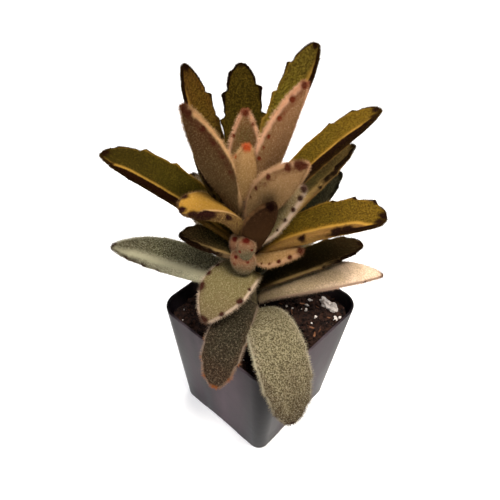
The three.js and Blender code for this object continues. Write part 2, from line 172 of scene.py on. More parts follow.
LEAVES = {
    "leaf_crown_1": Leaf(
        "tan", 112, 186, (86, 86), 28.5, 10, 3.8, hollow=0.3, point=0.9, mark_angle=18, tone=0.7,
        marks=(
            (0.45, 1, 0.6, 0.1), (0.58, -1, 0.7, 0.1), (0.72, 1, 0.6, 0.1), (0.85, -1, 0.6, 0.1),
            (1, 0, 1.3, 0),
        ),
    ),
    "leaf_crown_2": Leaf(
        "straw", 111, 8, (84, 94), 22, 11, 3.8, hollow=0.15, point=0.9, tone=0.8,
        marks=((0.7, 1, 0.5, 0), (0.8, -1, 0.5, 0), (1, 0, 1.5, 0)),
    ),
    "leaf_upper_1": Leaf(
        "olive", 107, 130, (71, 60), 55.5, 12, 4.2, hollow=0.25, point=0.1, neck=0.35, tone=1.8,
        marks=((0.50, 1, 0.7, 1.1), (0.66, 1, 0.9, 1.5), (0.84, 1, 1.1, 1.6), (1, 0, 1.8, 0)),
        bands=((-1, 0.3, 1, 0.8), (1, 0.8, 1, 0.45)), ridge=(42, 6),
    ),
    "leaf_upper_2": Leaf(
        "deep", 97, 192, (79, 61), 54, 13, 4.2, point=0.2, neck=0.35, apart=0.8, tone=0.95,
        marks=(
            (0.68, 1, 0.9, 1.5), (0.70, -1, 0.9, 1.5), (0.83, 1, 0.9, 1.5), (0.86, -1, 0.9, 1.5),
            (0.95, 1, 0.9, 0.8), (1, 0, 1.2, 0),
        ),
    ),
    "leaf_upper_3": Leaf(
        "rust", 95, 231, (59, 67), 59, 11, 4.2, hollow=0.25, neck=0.35, tone=0.95,
        marks=((0.80, -1, 1.2, 1.8), (0.66, -1, 0.7, 0.8), (0.9, 1, 1.2, 0.3), (1, 0, 2.2, 0)),
        bands=((1, 0.4, 1, 0.85), (-1, 0.85, 1, 0.5)), ridge=(6, 36),
    ),
    "leaf_upper_4": Leaf(
        "tan", 104, 79, (82, 68), 52.5, 10, 5, point=0.8, twist=-50, mark_angle=-30, tone=0.7,
        marks=(
            (0.38, -1, 0.5, 0), (0.47, -1, 0.7, 0.1), (0.55, -1, 0.5, 0.1), (0.63, -1, 0.7, 0.2),
            (0.76, -1, 0.8, 0.2), (0.89, -1, 0.9, 0.2), (0.7, 1, 0.5, 0.1), (1, 0, 1.1, 0),
        ),
        bands=((-1, 0.7, 1, 0.42),),
    ),
    # The hazel look's dark under side is partly painted shade.
    "leaf_upper_5": Leaf(
        "hazel_with_painted_shade", 103, 300, (71, 66), 50, 11, 5, point=0.8, twist=50, mark_angle=-35, tone=0.85,
        marks=(
            (0.45, 1, 0.5, 0.1), (0.58, 1, 0.6, 0.1), (0.70, 1, 0.8, 0.1), (0.82, 1, 0.9, 0.1),
            (0.95, 1, 1.0, 0.1), (1, 0, 1.5, 0),
        ),
        bands=((1, 0.35, 1, 0.45),),
    ),
    "leaf_upper_6": Leaf(
        "deep", 95, 266, (66, 64), 34, 8, 4, hollow=0.25, point=0.8, apart=0.8, marks=OLD_TEETH,
    ),
    "leaf_upper_7": Leaf(
        "fawn", 97, 50, (77, 48), 43.5, 12.5, 5.5, point=0.7, twist=-45, neck=0.3, mark_angle=-24, tone=0.9,
        marks=(
            (0.42, -1, 0.5, 0.1), (0.53, -1, 0.7, 0.1), (0.70, -1, 1.0, 0.2), (0.88, -1, 1.2, 0.2),
            (0.96, -1, 1.6, 0.1), (0.75, 1, 0.6, 0.1), (1, 0, 1.0, 0),
        ),
        bands=((-1, 0.5, 1, 0.4),),
    ),
    "leaf_middle_11": Leaf(
        "fawn", 84, 62, (42, 24), 22.5, 12.5, 4, point=0.9, twist=25, mark_angle=26, tone=1.1,
        marks=(
            (0.40, 1, 0.5, 0.1), (0.55, 1, 0.6, 0.1), (0.70, 1, 0.8, 0.2), (0.85, 1, 0.9, 0.2),
            (0.35, -1, 0.5, 0.1), (0.52, -1, 0.6, 0.1), (0.68, -1, 0.8, 0.2), (0.84, -1, 0.9, 0.2),
            (1, 0, 1.4, 0),
        ),
    ),
    "leaf_middle_1": Leaf(
        "olive", 88.5, 258, (46, 12), 59, 16.5, 5, hollow=0.3, tone=0.45, ridge=(6, 52),
        marks=(
            (0.60, -1, 0.9, 1.5), (0.79, -1, 1.1, 1.7), (0.93, -1, 1.0, 0.8), (0.78, 1, 1.8, 0.5),
            (0.9, 1, 1.6, 0.5), (1, 0, 2.6, 0),
        ),
        bands=((1, 0.3, 1, 0.8), (-1, 0.78, 1, 0.5)),
    ),
    "leaf_middle_2": Leaf(
        "gold", 94, 304, (82, 0), 32.5, 14, 5, point=0.1, neck=0.3, mark_angle=8, tone=0.8,
        marks=(
            (0.88, -1, 1.6, 0.1), (0.58, 1, 1.3, 0.1), (0.84, 1, 1.9, 0), (0.93, 1, 2.1, 0),
            (1, 0, 1.6, 0),
        ),
        bands=((1, 0.75, 1, 1.2),), ridge=(12, 54),
    ),
    "leaf_middle_3": Leaf(
        "dusk", 83, 281, (41, 17), 26, 12, 4.5, hollow=0.3, point=0.6, marks=OLD_TEETH,
        bands=((1, 0.4, 1, 0.7), (-1, 0.6, 1, 0.5)), ridge=(6, 20), tone=1.5,
    ),
    # Tone 1.8 is painted light: it lifts a leaf that lies in shade.
    "leaf_middle_4": Leaf("grey", 82, 228, (46, 28), 36, 9, 4.5, point=0.4, marks=OLD_TEETH, tone=1.8),
    "leaf_middle_5": Leaf(
        "gilt", 95, 108, (63, 31), 60, 13.5, 5, hollow=0.3, point=0.15, twist=-8, neck=0.35, tone=1.05,
        marks=(
            (0.58, 1, 0.6, 0.6), (0.74, 1, 0.9, 1.6), (0.88, 1, 1.1, 1.4), (0.55, -1, 1.0, 0),
            (0.75, -1, 1.5, 0.3), (0.95, -1, 1.6, 0.3), (1, 0, 2.0, 0),
        ),
        bands=((-1, 0.25, 1, 0.8), (1, 0.8, 1, 0.5)), ridge=(44, 6), mark_angle=12,
    ),
    "leaf_middle_6": Leaf(
        "sage", 88, 112, (50, 43), 50, 11.5, 4.5, hollow=0.3, twist=-10, marks=FULL_TEETH, tone=1.4,
    ),
    "leaf_middle_7": Leaf(
        "cream", 88, 80, (69, 56), 34, 11, 4, point=0.7, twist=35, neck=0.35, marks=YOUNG_TEETH,
        mark_angle=24, tone=2.0,
    ),
    # The slate look is painted shade: this leaf's upper face lies in deep shade.
    "leaf_middle_8": Leaf("slate_with_painted_shade", 73, 122, (53, 41), 49.5, 12, 4.5, point=0.4, marks=OLD_TEETH),
    "leaf_middle_9": Leaf(
        "gilt", 83, 84, (54, 8), 51.5, 17, 5.5, hollow=0.25, point=0, neck=0.2, tone=0.9,
        marks=(
            (0.66, 1, 0.9, 1.0), (0.80, 1, 1.1, 1.6), (0.93, 1, 1.3, 1.8), (0.47, -1, 1.4, 0),
            (0.70, -1, 2.0, 0.3), (0.76, -1, 1.9, 0.2), (0.97, -1, 2.4, 0.6), (1, 0, 2.2, 0),
        ),
        bands=((-1, 0.6, 1, 0.35), (1, 0.85, 1, 0.5)), ridge=(58, 6), mark_angle=22,
    ),
    # The umber look and tone 0.5 are painted shade over the leaf's own brown: its under side is seen in
    # shadow.
    "leaf_middle_10": Leaf(
        "umber_with_painted_shade", 87, 25, (73, 61), 36.5, 11, 5, point=0.7, tone=0.5,
        marks=((1, 0, 2.2, 0), (0.9, 1, 1.5, 0.2), (0.7, 1, 0.8, 0.1)),
    ),
    "leaf_middle_12": Leaf(
        "olive", 92, 188, (48, 28), 44, 12, 4.5, hollow=0.25, marks=FULL_TEETH, bands=BOTH_FLANKS,
    ),
    "leaf_middle_13": Leaf(
        "olive", 88, 180, (40, 12), 45, 12, 5, marks=FULL_TEETH, bands=BOTH_FLANKS,
    ),
    "leaf_middle_14": Leaf(
        "olive", 84, 203, (42, 18), 42, 12, 4.5, marks=FULL_TEETH, bands=BOTH_FLANKS,
    ),
    "leaf_lower_1": Leaf(
        "hoar", 67, 264, (30, -5), 54, 17, 5.5, hollow=0, point=0.6, ridge=(6, 52), tone=1.0,
        marks=(
            (0.66, -1, 0.6, 0.5), (0.80, -1, 0.8, 0.5), (0.62, 1, 0.8, 0.4), (0.73, 1, 1.1, 0.5),
            (0.86, 1, 1.3, 0.5), (1, 0, 2.0, 0),
        ),
        bands=((1, 0.7, 1, 0.3),),
    ),
    "leaf_lower_2": Leaf(
        "dusk", 67, 102, (33, 15), 43.5, 12, 4.5, hollow=0.3, point=0.2, marks=OLD_TEETH,
        bands=((1, 0.7, 1, 0.5), (-1, 0.8, 1, 0.5)), tone=0.45,
    ),
    # The blush look's dark foot is partly painted shade, where the foot sits deep in the plant.
    "leaf_lower_3": Leaf(
        "blush_with_painted_shade", 60, 94, (42, -8), 50.5, 12.5, 5, hollow=0.1, point=0.7, twist=10,
        marks=((1, 0, 1.3, 0), (0.85, -1, 0.7, 0.2)), tone=2.2,
    ),
    "leaf_lower_4": Leaf(
        "cream", 79, 328, (12, -45), 27.5, 18, 5, hollow=0.05, point=0.9, neck=0.8, mark_angle=22, tone=0.85,
        marks=(
            (0.35, 1, 0.7, 0.1), (0.55, 1, 1.3, 0.3), (0.25, -1, 0.9, 0.1), (0.42, -1, 1.2, 0.1),
            (0.62, -1, 1.8, 0.2), (0.80, 1, 1.0, 0.1), (0.97, -1, 1.5, 0), (1, 0, 1.8, 0),
        ),
    ),
    "leaf_lower_5": Leaf(
        "bruised", 60, 342, (50, -85), 45, 14.5, 5, hollow=0, point=0.5, marks=OLD_TEETH,
    ),
    # The frost look's pale foot and dark tip are partly painted light and painted shade.
    "leaf_lower_6": Leaf(
        "frost_with_painted_light", 54, 20, (60, -80), 60, 19, 5.5, hollow=0, point=0.45, neck=0.6, marks=OLD_TEETH, tone=0.9,
        bands=((-1, 0.75, 1, 0.3), (1, 0.75, 1, 0.3)),
    ),
    "leaf_lower_7": Leaf("grey", 74, 172, (30, 0), 44, 13, 5, hollow=0.15, point=0.4, marks=OLD_TEETH),
    "leaf_lower_8": Leaf("grey", 66, 212, (25, -10), 46, 14, 5, hollow=0.1, point=0.4, marks=OLD_TEETH),
    "leaf_lower_9": Leaf("grey", 61, 150, (25, -15), 48, 15, 5, hollow=0.1, point=0.4, marks=OLD_TEETH),
    "leaf_lower_10": Leaf("bruised", 56, 288, (20, -10), 20, 12, 5, hollow=0.1, point=0.4, marks=OLD_TEETH),
    "leaf_lower_11": Leaf("grey", 70, 192, (28, -4), 45, 13, 5, hollow=0.1, point=0.4, marks=OLD_TEETH),
    "leaf_shoot_1": Leaf(
        "bud", 82, 348, (70, 95), 12, 9, 5.5, hollow=0, apart=4, mark_angle=-60, tone=0.8,
        marks=((0.97, 0, 1.0, 0), (0.75, 1, 0.6, 0), (0.82, -1, 0.7, 0), (0.6, -1, 0.5, 0)),
    ),
    "leaf_shoot_2": Leaf(
        "bud", 91, 0, (86, 92), 10, 6, 3.5, hollow=0, apart=7, mark_angle=-50, tone=0.8,
        marks=((0.95, 0, 1.1, 0), (0.6, 1, 0.5, 0), (0.5, -1, 0.6, 0)),
    ),
    "leaf_shoot_3": Leaf(
        "bud", 86, 322, (80, 88), 11, 6, 4, hollow=0, apart=2.5, mark_angle=-60, tone=0.8,
        marks=((0.95, 0, 0.9, 0), (0.7, 1, 0.6, 0), (0.55, -1, 0.6, 0)),
    ),
}


@dataclass(frozen=True)
class Look:
    """Colours of a leaf: upper and under side at the foot and the tip, pale line, marks, specks, hair."""

    upper_foot: tuple
    upper_tip: tuple
    under_foot: tuple
    under_tip: tuple
    rim: tuple
    mark: tuple
    speck: tuple
    hair: tuple
    speckling: float
    rim_width: float
    hair_length: float
    patch: tuple
    edging: float


LOOKS = {
    "olive": Look(
        (0.145, 0.082, 0.007), (0.038, 0.025, 0.004), (0.15, 0.075, 0.018), (0.08, 0.040, 0.010),
        (0.27, 0.15, 0.026), (0.007, 0.002, 0.001), (0.016, 0.011, 0.002), (0.20, 0.13, 0.018),
        0.75, 0.9, 0.5, (0.055, 0.045, 0.005), 0.9,
    ),
    "gilt": Look(
        (0.21, 0.112, 0.009), (0.12, 0.066, 0.007), (0.24, 0.125, 0.038), (0.18, 0.085, 0.024),
        (0.38, 0.21, 0.035), (0.008, 0.003, 0.002), (0.022, 0.014, 0.003), (0.26, 0.155, 0.022),
        0.7, 0.9, 0.5, (0.10, 0.067, 0.007), 0.9,
    ),
    "sage": Look(
        (0.24, 0.16, 0.045), (0.15, 0.10, 0.035), (0.26, 0.15, 0.050), (0.15, 0.075, 0.025),
        (0.36, 0.23, 0.08), (0.008, 0.003, 0.002), (0.045, 0.035, 0.010), (0.30, 0.21, 0.07),
        0.6, 0.9, 0.5, (0.12, 0.105, 0.032), 0.8,
    ),
    "deep": Look(
        (0.080, 0.050, 0.006), (0.040, 0.024, 0.003), (0.06, 0.036, 0.012), (0.035, 0.02, 0.006),
        (0.085, 0.052, 0.010), (0.005, 0.002, 0.001), (0.009, 0.006, 0.001), (0.10, 0.068, 0.010),
        0.75, 0.35, 0.4, (0.036, 0.026, 0.003), 1.0,
    ),
    "rust": Look(
        (0.14, 0.072, 0.009), (0.070, 0.030, 0.005), (0.10, 0.045, 0.014), (0.05, 0.022, 0.007),
        (0.20, 0.105, 0.020), (0.006, 0.002, 0.001), (0.018, 0.009, 0.002), (0.17, 0.10, 0.018),
        0.75, 0.7, 0.45, (0.065, 0.042, 0.005), 1.0,
    ),
    "tan": Look(
        (0.22, 0.145, 0.050), (0.26, 0.130, 0.045), (0.20, 0.108, 0.040), (0.31, 0.155, 0.068),
        (0.72, 0.42, 0.25), (0.10, 0.015, 0.004), (0.10, 0.036, 0.011), (0.52, 0.31, 0.17),
        0.45, 0.8, 0.8, (0.15, 0.115, 0.035), 0.1,
    ),
    "straw": Look(
        (0.26, 0.165, 0.06), (0.34, 0.19, 0.07), (0.28, 0.165, 0.06), (0.38, 0.215, 0.085),
        (0.50, 0.31, 0.14), (0.28, 0.042, 0.010), (0.15, 0.055, 0.014), (0.56, 0.37, 0.17),
        0.65, 0.5, 0.7, (0.30, 0.17, 0.055), 0.1,
    ),
    "fawn": Look(
        (0.26, 0.16, 0.06), (0.28, 0.15, 0.06), (0.19, 0.115, 0.045), (0.28, 0.155, 0.066),
        (0.46, 0.27, 0.145), (0.050, 0.009, 0.004), (0.09, 0.042, 0.014), (0.44, 0.28, 0.14),
        0.35, 0.8, 0.75, (0.24, 0.14, 0.05), 0.1,
    ),
    # The under side is darker than the upper: partly its own colour, partly painted shade on an under side
    # turned from the light.
    "hazel_with_painted_shade": Look(
        (0.15, 0.10, 0.035), (0.15, 0.08, 0.025), (0.070, 0.042, 0.016), (0.060, 0.027, 0.010),
        (0.56, 0.34, 0.16), (0.040, 0.009, 0.004), (0.040, 0.017, 0.006), (0.20, 0.125, 0.060),
        0.45, 0.85, 0.75, (0.060, 0.036, 0.015), 0.1,
    ),
    "gold": Look(
        (0.30, 0.165, 0.035), (0.36, 0.19, 0.030), (0.11, 0.060, 0.024), (0.09, 0.048, 0.020),
        (0.42, 0.25, 0.10), (0.012, 0.003, 0.003), (0.17, 0.075, 0.012), (0.44, 0.27, 0.08),
        0.35, 0.6, 0.6, (0.33, 0.17, 0.022), 0.6,
    ),
    "cream": Look(
        (0.17, 0.13, 0.055), (0.15, 0.105, 0.055), (0.19, 0.13, 0.065), (0.22, 0.14, 0.070),
        (0.56, 0.43, 0.32), (0.032, 0.009, 0.006), (0.085, 0.055, 0.018), (0.42, 0.33, 0.19),
        0.5, 0.7, 0.75, (0.155, 0.130, 0.055), 0.1,
    ),
    "grey": Look(
        (0.16, 0.130, 0.068), (0.10, 0.068, 0.036), (0.20, 0.155, 0.10), (0.12, 0.08, 0.05),
        (0.36, 0.27, 0.18), (0.016, 0.006, 0.004), (0.016, 0.012, 0.006), (0.36, 0.30, 0.19),
        0.8, 0.6, 0.7, (0.11, 0.092, 0.045), 0.5,
    ),
    # Pale at the foot and dark at the tip: partly the leaf's own browning tip, partly painted light on the
    # crest that faces up and painted shade where the leaf hangs down.
    "frost_with_painted_light": Look(
        (0.36, 0.305, 0.190), (0.060, 0.036, 0.022), (0.36, 0.33, 0.21), (0.14, 0.09, 0.06),
        (0.42, 0.37, 0.25), (0.018, 0.007, 0.005), (0.030, 0.022, 0.011), (0.42, 0.37, 0.25),
        0.85, 0.55, 0.75, (0.20, 0.170, 0.092), 0.5,
    ),
    "hoar": Look(
        (0.120, 0.108, 0.062), (0.060, 0.050, 0.030), (0.34, 0.32, 0.21), (0.05, 0.042, 0.028),
        (0.30, 0.28, 0.18), (0.018, 0.007, 0.005), (0.022, 0.018, 0.009), (0.40, 0.37, 0.25),
        0.85, 1.8, 0.7, (0.100, 0.095, 0.050), 0.5,
    ),
    "bruised": Look(
        (0.045, 0.036, 0.020), (0.045, 0.024, 0.014), (0.06, 0.04, 0.03), (0.06, 0.035, 0.022),
        (0.30, 0.22, 0.16), (0.20, 0.060, 0.015), (0.009, 0.006, 0.004), (0.22, 0.165, 0.11),
        0.8, 0.5, 0.7, (0.026, 0.024, 0.014), 0.4,
    ),
    "dusk": Look(
        (0.060, 0.042, 0.013), (0.042, 0.022, 0.008), (0.12, 0.075, 0.038), (0.08, 0.042, 0.020),
        (0.26, 0.17, 0.065), (0.006, 0.002, 0.001), (0.012, 0.008, 0.003), (0.14, 0.095, 0.040),
        0.65, 0.7, 0.45, (0.036, 0.028, 0.009), 0.9,
    ),
    # Very dark brown: the leaf's own brown darkened as painted shade, for an under side seen in shadow.
    "umber_with_painted_shade": Look(
        (0.040, 0.018, 0.006), (0.055, 0.022, 0.009), (0.080, 0.036, 0.014), (0.045, 0.019, 0.008),
        (0.14, 0.070, 0.028), (0.004, 0.001, 0.001), (0.012, 0.005, 0.002), (0.10, 0.050, 0.022),
        0.45, 0.4, 0.4, (0.038, 0.016, 0.006), 0.4,
    ),
    # Very dark blue-grey: painted shade, for an upper face that lies in deep shade.
    "slate_with_painted_shade": Look(
        (0.028, 0.026, 0.012), (0.030, 0.026, 0.014), (0.05, 0.045, 0.032), (0.04, 0.036, 0.026),
        (0.12, 0.105, 0.055), (0.004, 0.003, 0.002), (0.008, 0.007, 0.004), (0.085, 0.078, 0.046),
        0.6, 0.4, 0.5, (0.018, 0.020, 0.010), 0.6,
    ),
    # Dark at the foot and pale at the tip: partly the leaf's own colour, partly painted shade at the foot,
    # deep in the plant.
    "blush_with_painted_shade": Look(
        (0.13, 0.10, 0.055), (0.34, 0.25, 0.18), (0.035, 0.026, 0.017), (0.36, 0.235, 0.175),
        (0.38, 0.26, 0.18), (0.045, 0.012, 0.008), (0.09, 0.06, 0.034), (0.36, 0.26, 0.18),
        0.35, 0.5, 0.6, (0.20, 0.15, 0.085), 0.3,
    ),
    "bud": Look(
        (0.10, 0.095, 0.045), (0.36, 0.150, 0.075), (0.10, 0.095, 0.050), (0.30, 0.130, 0.066),
        (0.36, 0.22, 0.12), (0.085, 0.009, 0.005), (0.07, 0.022, 0.010), (0.36, 0.26, 0.15),
        0.7, 0.4, 0.5, (0.22, 0.13, 0.06), 0.1,
    ),
}


def smooth_step(low, high, value):
    """0 below low, 1 above high, and a smooth rise between; low may be the larger one."""
    share = min(max((value - low) / (high - low), 0), 1)
    return share * share * (3 - 2 * share)


def stem_centre(height):
    lean = math.radians(STEM_LEAN_HEADING)
    offset = STEM_FOOT_OFFSET + STEM_LEAN_SLOPE * (height - SOIL_TOP)
    return Vector((offset * math.cos(lean), offset * math.sin(lean), height))


def leaf_butt(along):
    left = 1 - min(along / LEAF_BUTT, 1)
    return math.sqrt(1 - left**2)


def leaf_outline(leaf, along):
    """Fraction of the full width at a fraction of the leaf's length."""
    widest = LEAF_WIDEST - POINTED_WIDEST_SHIFT * leaf.point
    fullness = LEAF_TIP_FULLNESS - POINTED_FULLNESS_LOSS * leaf.point
    bluntness = LEAF_TIP_BLUNTNESS + POINTED_BLUNTNESS_GAIN * leaf.point
    grown = min(along / widest, 1)
    past = max((along - widest) / (1 - widest), 0)
    grow = leaf.neck + (1 - leaf.neck) * math.sin(grown * math.pi / 2)
    return grow * max(1 - past**fullness, 0) ** bluntness * leaf_butt(along)


def leaf_thickness(along):
    grown = min(along / LEAF_THICKEST, 1)
    swell = LEAF_FOOT_THICKNESS + (1 - LEAF_FOOT_THICKNESS) * math.sin(grown * math.pi / 2)
    close = max(1 - along**LEAF_THIN_TIP_FULLNESS, 0) ** LEAF_THIN_TIP_BLUNTNESS
    return swell * close * leaf_butt(along)


def soft_power(value):
    return math.copysign(abs(value) ** LEAF_SQUARENESS, value)


def leaf_section(leaf, along):
    """Place of the spine and its forward, across and face directions at a fraction of the length."""
    heading = math.radians(leaf.around + FRONT_HEADING)
    first = math.radians(leaf.rise[0])
    turn = math.radians(leaf.rise[1] - leaf.rise[0])
    outward = Vector((math.cos(heading), math.sin(heading), 0))
    up = Vector((0, 0, 1))
    standoff = LEAF_STANDOFF + LEAF_STEEP_STANDOFF * math.sin(first) + leaf.apart
    place = stem_centre(leaf.foot) + outward * standoff
    advance = leaf.length * along / SPINE_STEPS
    for step in range(SPINE_STEPS):
        rise = first + turn * along * (step + 0.5) / SPINE_STEPS
        place += (outward * math.cos(rise) + up * math.sin(rise)) * advance
    rise = first + turn * along
    forward = outward * math.cos(rise) + up * math.sin(rise)
    side = Vector((-math.sin(heading), math.cos(heading), 0))
    twist = math.radians(leaf.twist) * smooth_step(0, LEAF_TWIST_END, along)
    across = side * math.cos(twist) + forward.cross(side) * math.sin(twist)
    return place, forward, across, forward.cross(across)


def tooth_reach(leaf, along, side):
    """How far the teeth push out the margin on one side, in millimetres."""
    reach = 0
    for centre, tooth_side, _, tooth in leaf.marks:
        if tooth_side == side:
            beyond = (along - centre) * leaf.length
            away = beyond / TOOTH_FALL if beyond > 0 else -beyond / TOOTH_RISE
            notch = math.exp(-(((beyond - NOTCH_PLACE) / NOTCH_WIDTH) ** 2))
            reach += tooth * (max(1 - away, 0) ** 1.5 - NOTCH_DEPTH * notch)
    return reach


def skin_distance(leaf, along, cosine, sine, line):
    """Distance over the skin from a line round the section, in millimetres: towards the upper face is +."""
    half_width = leaf.width / 2 * leaf_outline(leaf, along)
    half_thick = leaf.thick / 2 * leaf_thickness(along)
    angle = math.atan2(sine, abs(cosine))
    middle = (angle + line) / 2
    return (angle - line) * math.hypot(half_width * math.sin(middle), half_thick * math.cos(middle))


def leaf_point(leaf, section, along, cosine, sine):
    """A point of the leaf's skin. cosine runs across the leaf, sine from under side to upper side."""
    place, _, across, face = section
    half_width = leaf.width / 2 * leaf_outline(leaf, along)
    half_thick = leaf.thick / 2 * leaf_thickness(along)
    side = 1 if cosine > 0 else -1
    sideways = half_width * soft_power(cosine) + side * tooth_reach(leaf, along, side) * abs(cosine) ** 5
    bulge = half_thick * soft_power(sine) * (LEAF_KEEL if sine < 0 else LEAF_FACE)
    channel = leaf.hollow * half_width * soft_power(cosine) ** 2
    return place + across * sideways + face * (bulge + channel)


def band_strength(leaf, look, along, cosine, distance):
    """Dark band on the flank, below the pale line, between two fractions of the length."""
    strength = 0
    inner = -look.rim_width * 0.4
    outer = -BAND_WIDTH * leaf.width
    for side, start, end, full in leaf.bands:
        if side * cosine > 0:
            lengthwise = smooth_step(start - 0.15, start + 0.1, along) * smooth_step(end + 0.1, end, along)
            flank = smooth_step(inner, inner - 0.6, distance) * smooth_step(outer * 1.6, outer * 0.8, distance)
            strength = max(strength, full * lengthwise * flank)
    return strength


def mark_places(leaf):
    """Centre and radius of each dark mark, on the leaf's skin."""
    angle = math.radians(leaf.mark_angle)
    places = []
    for along, side, radius, _ in leaf.marks:
        cosine = side * math.cos(angle)
        sine = math.sin(angle) if side else math.copysign(1, leaf.mark_angle)
        where = min(along, 0.985)
        places.append((leaf_point(leaf, leaf_section(leaf, where), where, cosine, sine), radius))
    return places


def mark_strength(point, places):
    """1 at the centre of a mark, a half at its radius and 0 beyond twice that."""
    return max((1 - (point - centre).length / (2 * radius) for centre, radius in places), default=0)


def crowded(angle):
    """Draws the facets of a section towards its two margins."""
    return angle - MARGIN_CROWDING * math.sin(2 * angle)


def leaf_skin(leaf, look):
    """A sphere whose poles become the foot and the tip, with the fields that colour it."""
    rings = max(FEWEST_RINGS, round(leaf.length * RINGS_PER_MM))
    bm = bmesh.new()
    bmesh.ops.create_uvsphere(bm, u_segments=LEAF_AROUND, v_segments=rings, radius=1)
    fields = {key: bm.verts.layers.float.new(key) for key in ("along", "ridge", "dark", "tone")}
    places = mark_places(leaf)
    sections = {}
    for vertex in bm.verts:
        ring = round(math.acos(min(max(-vertex.co.z, -1), 1)) / math.pi * rings)
        share = ring / rings
        along = share * (1 + LEAF_TIP_CROWDING * (1 - share))
        if ring not in sections:
            sections[ring] = leaf_section(leaf, along)
        angle = crowded(math.atan2(vertex.co.y, vertex.co.x))
        cosine, sine = math.cos(angle), math.sin(angle)
        point = leaf_point(leaf, sections[ring], along, cosine, sine)
        line = math.radians(leaf.ridge[1 if cosine > 0 else 0]) * smooth_step(1, 0.8, along)
        distance = skin_distance(leaf, along, cosine, sine, line)
        swell = SWELL_HEIGHT * noise.noise(point / SWELL_SPACING) * math.copysign(1, sine)
        ridge = RIDGE_HEIGHT * math.exp(-((distance / RIDGE_WIDTH) ** 2)) if sine > 0 else 0
        vertex.co = point + sections[ring][3] * (swell + ridge) * leaf_thickness(along)
        vertex[fields["along"]] = along
        vertex[fields["ridge"]] = distance
        vertex[fields["tone"]] = leaf.tone
        from_margin = abs(skin_distance(leaf, along, cosine, sine, 0))
        edge = look.edging * smooth_step(0.35, 0.9, along) * smooth_step(EDGING_WIDTH, 0.2, from_margin)
        band = band_strength(leaf, look, along, cosine, distance)
        vertex[fields["dark"]] = max(mark_strength(point, places), band, edge)
    if bm.calc_volume(signed=True) < 0:
        bmesh.ops.reverse_faces(bm, faces=bm.faces)
    bm.normal_update()
    for face in bm.faces:
        face.smooth = True
    return bm


def grow_hair(bm, look, draw):
    """One hair on every triangle of the skin: the skin is copied, split up and drawn out into spikes."""
    fields = bm.verts.layers.float.values()
    ridge = bm.verts.layers.float["ridge"]
    copied = bmesh.ops.duplicate(bm, geom=bm.faces[:])["geom"]
    faces = [item for item in copied if isinstance(item, bmesh.types.BMFace)]
    faces = bmesh.ops.triangulate(bm, faces=faces)["faces"]
    edges = {edge for face in faces for edge in face.edges}
    bmesh.ops.split_edges(bm, edges=list(edges))
    for face in faces:
        face.material_index = 1
        face.smooth = False
        corners = [vertex.co.copy() for vertex in face.verts]
        first, second = sorted((draw.random(), draw.random()))
        root = corners[0] * first + corners[1] * (second - first) + corners[2] * (1 - second)
        root -= face.normal * HAIR_ROOT
        sideways = face.normal.orthogonal().normalized()
        turned = face.normal.cross(sideways)
        start = draw.uniform(0, math.tau)
        for index, vertex in enumerate(face.verts):
            angle = start + math.tau * index / 3
            vertex.co = root + (sideways * math.cos(angle) + turned * math.sin(angle)) * HAIR_RADIUS
        face.normal_update()
    spikes = bmesh.ops.poke(bm, faces=faces, offset=look.hair_length)
    for tip in spikes["verts"]:
        root = tip.link_edges[0].other_vert(tip)
        for field in fields:
            tip[field] = root[field]
        upward = tip.co - root.co
        near_line = math.exp(-((root[ridge] / (look.rim_width + 0.3)) ** 2))
        tall = draw.uniform(0.6, 1.1) * (1 + MARGIN_HAIR_GAIN * near_line)
        lean = Vector((draw.gauss(0, 1), draw.gauss(0, 1), draw.gauss(0, 1))) * HAIR_LEAN * look.hair_length
        tip.co = root.co + upward * tall + lean
    open_edges = {edge for face in spikes["faces"] for edge in face.edges if edge.is_boundary}
    caps = bmesh.ops.holes_fill(bm, edges=list(open_edges), sides=3)["faces"]
    for cap in caps:
        cap.material_index = 1
    bmesh.ops.recalc_face_normals(bm, faces=spikes["faces"] + caps)


def to_object(name, bm, materials, slot, *replaced):
    """The finished mesh as a piece that rides on the frame, in metres."""
    bmesh.ops.scale(bm, vec=(MM, MM, MM), verts=bm.verts)
    mesh = bpy.data.meshes.new(name)
    bm.to_mesh(mesh)
    bm.free()
    for material in materials:
        mesh.materials.append(material)
    piece = bpy.data.objects.new(name, mesh)
    bpy.context.scene.collection.objects.link(piece)
    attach(piece, "root")
    if replaced:
        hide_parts(*replaced)
    return piece


def new_material(name, roughness, specular):
    material = bpy.data.materials.new(name)
    material.use_nodes = True
    shader = material.node_tree.nodes["Principled BSDF"]
    shader.inputs["Roughness"].default_value = roughness
    shader.inputs["Specular IOR Level"].default_value = specular
    return material, material.node_tree, shader


def node(tree, kind, inputs=(), **settings):
    """A node with its settings; each input is a number, a colour or another node's output."""
    made = tree.nodes.new(kind)
    for key, value in settings.items():
        setattr(made, key, value)
    for key, value in dict(inputs).items():
        if isinstance(value, bpy.types.NodeSocket):
            tree.links.new(value, made.inputs[key])
        else:
            made.inputs[key].default_value = value
    return made


def maths(tree, operation, first, second):
    return node(tree, "ShaderNodeMath", {0: first, 1: second}, operation=operation).outputs[0]


def span(tree, value, low, high):
    """0 to 1 as the value goes from low to high, smoothly."""
    inputs = {"Value": value, "From Min": low, "From Max": high}
    return node(tree, "ShaderNodeMapRange", inputs, interpolation_type="SMOOTHSTEP").outputs[0]


def blend(tree, share, first, second):
    """Mixes two colours; a tuple is a colour without its alpha."""
    pair = [(*colour, 1) if isinstance(colour, tuple) else colour for colour in (first, second)]
    inputs = {0: share, 6: pair[0], 7: pair[1]}
    return node(tree, "ShaderNodeMix", inputs, data_type="RGBA").outputs[2]


def field(tree, name):
    return node(tree, "ShaderNodeAttribute", attribute_name=name).outputs["Fac"]


